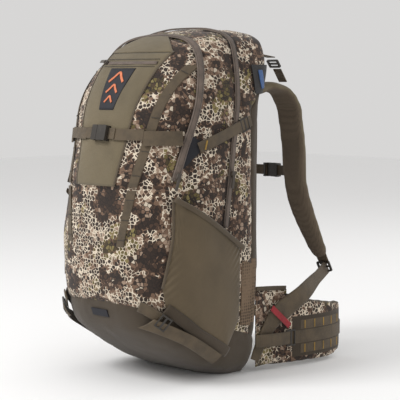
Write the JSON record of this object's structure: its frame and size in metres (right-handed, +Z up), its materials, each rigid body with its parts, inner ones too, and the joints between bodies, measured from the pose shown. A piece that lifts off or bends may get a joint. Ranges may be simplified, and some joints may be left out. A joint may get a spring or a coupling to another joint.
{
  "type": "hunting backpack",
  "caption": "Frame pack for hunting with a fold-down front door, stretch side pockets, padded shoulder harness, sternum strap, hip belt and webbing straps with moulded buckles.",
  "frame": {"origin": "centre of the bounding box, on the ground that the pack stands on", "axes": "+Z up, +Y towards the wearer, the front panel faces -Y, +X the wearer's right"},
  "size_m": [0.343, 0.5811, 0.6501],
  "materials": {
    "coyote": "woven",
    "camo": "printed woven",
    "webbing": "webbing",
    "mesh": "spacer mesh",
    "zip": "coil zip",
    "patch": "matt",
    "red": "satin",
    "liner": "coated",
    "buckle": "moulded",
    "sheet": "sheet",
    "stay": "drawn",
    "slider": "moulded"
  },
  "bodies": {
    "bag": {"bottom_boot": "coyote", "lower_front_panel": "camo", "middle_band": "camo", "rear_band": "camo", "back_wall": "coyote", "frame_sheet": "sheet", "frame_stays": "stay", "hydration_sleeve": "liner", "back_pads": "mesh", "air_channel_mesh": "mesh", "lumbar_pad": "mesh", "harness_yoke": "coyote", "side_mesh": "mesh", "daisy_webbing_lower": "webbing", "blank_label": "patch", "gussets": "patch", "door_zip": "zip", "main_zip": "zip", "side_pocket_right": "coyote", "side_pocket_left": "coyote", "compression_straps": "webbing", "lash_straps": "webbing", "hydration_port": "patch", "lifter_webbing": "webbing", "lower_webbing": "webbing", "red_tabs": "red", "handle_tabs": "webbing"},
    "door": {"front_door": "camo", "front_pocket": "coyote", "emblem_patch": "patch", "pocket_zip": "zip", "daisy_webbing_upper": "webbing", "front_strap": "webbing", "front_bands": "webbing", "front_buckle_socket": "buckle"},
    "front_plug": {"front_buckle_plug": "buckle"},
    "pocket_slider": {"pocket_zip_slider": "slider"},
    "door_slider_right": {"door_zip_slider_right": "slider"},
    "door_slider_left": {"door_zip_slider_left": "slider"},
    "main_slider_right": {"main_zip_slider_right": "slider"},
    "main_slider_left": {"main_zip_slider_left": "slider"},
    "harness": {"shoulder_strap_right": "mesh", "shoulder_strap_left": "mesh", "strap_locks": "buckle", "lifter_locks": "buckle", "lifter_tails": "webbing"},
    "sternum": {"sternum_webbing": "webbing", "sternum_clips": "buckle", "sternum_buckle_socket": "buckle"},
    "sternum_plug": {"sternum_buckle_plug": "buckle"},
    "belt_right": {"belt_wing_right": "camo", "belt_rows_right": "webbing", "belt_webbing_right": "webbing"},
    "belt_left": {"belt_wing_left": "camo", "belt_rows_left": "webbing", "belt_webbing_left": "webbing", "belt_buckle_socket": "buckle"},
    "belt_plug": {"belt_buckle_plug": "buckle"},
    "handle": {"haul_handle": "webbing"}
  },
  "joints": [
    {"name": "door_fold", "type": "hinge", "parent": "bag", "child": "door", "pos_m": [0, -0.292, 0.362], "axis": [1, 0, 0], "range_deg": [0, 95]},
    {"name": "front_plug_release", "type": "slide", "parent": "door", "child": "front_plug", "axis": [-1, 0, 0], "range_m": [0, 0.02]},
    {"name": "pocket_zip_travel", "type": "hinge", "parent": "door", "child": "pocket_slider", "pos_m": [0, 0.08268, 0.584], "axis": [0, 0, 1], "range_deg": [0, 24.7]},
    {"name": "harness_swing", "type": "hinge", "parent": "bag", "child": "harness", "pos_m": [0, 0.034, 0.52], "axis": [1, 0, 0], "range_deg": [-5, 20], "deforming": ["lifter_webbing", "lower_webbing"]},
    {"name": "sternum_height", "type": "slide", "parent": "harness", "child": "sternum", "axis": [0, 0, 1], "range_m": [-0.008, 0.05]},
    {"name": "sternum_plug_release", "type": "slide", "parent": "sternum", "child": "sternum_plug", "axis": [-1, 0, 0], "range_m": [0, 0.025]},
    {"name": "belt_plug_adjust", "type": "slide", "parent": "belt_right", "child": "belt_plug", "axis": [1, 0, 0], "range_m": [0, 0.008]},
    {"name": "handle_swing", "type": "hinge", "parent": "bag", "child": "handle", "pos_m": [0, 0.047, 0.6], "axis": [1, 0, 0], "range_deg": [0, 90]},
    {"name": "door_zip_travel_right", "type": "slide", "parent": "bag", "child": "door_slider_right", "axis": [0.0787, 0.3377, 0.938], "range_m": [0, 0.1]},
    {"name": "main_zip_travel_right", "type": "slide", "parent": "bag", "child": "main_slider_right", "axis": [-0.0271, 0.1579, 0.9871], "range_m": [0, 0.045]},
    {"name": "belt_swing_right", "type": "hinge", "parent": "bag", "child": "belt_right", "pos_m": [0.116, 0.036, 0.08], "axis": [0, 0, -1], "range_deg": [-2.5, 9]},
    {"name": "door_zip_travel_left", "type": "slide", "parent": "bag", "child": "door_slider_left", "axis": [-0.0787, 0.3377, 0.938], "range_m": [0, 0.1]},
    {"name": "main_zip_travel_left", "type": "slide", "parent": "bag", "child": "main_slider_left", "axis": [0.0271, 0.1579, 0.9871], "range_m": [0, 0.045]},
    {"name": "belt_swing_left", "type": "hinge", "parent": "bag", "child": "belt_left", "pos_m": [-0.116, 0.036, 0.08], "axis": [0, 0, 1], "range_deg": [-2.5, 9]}
  ]
}
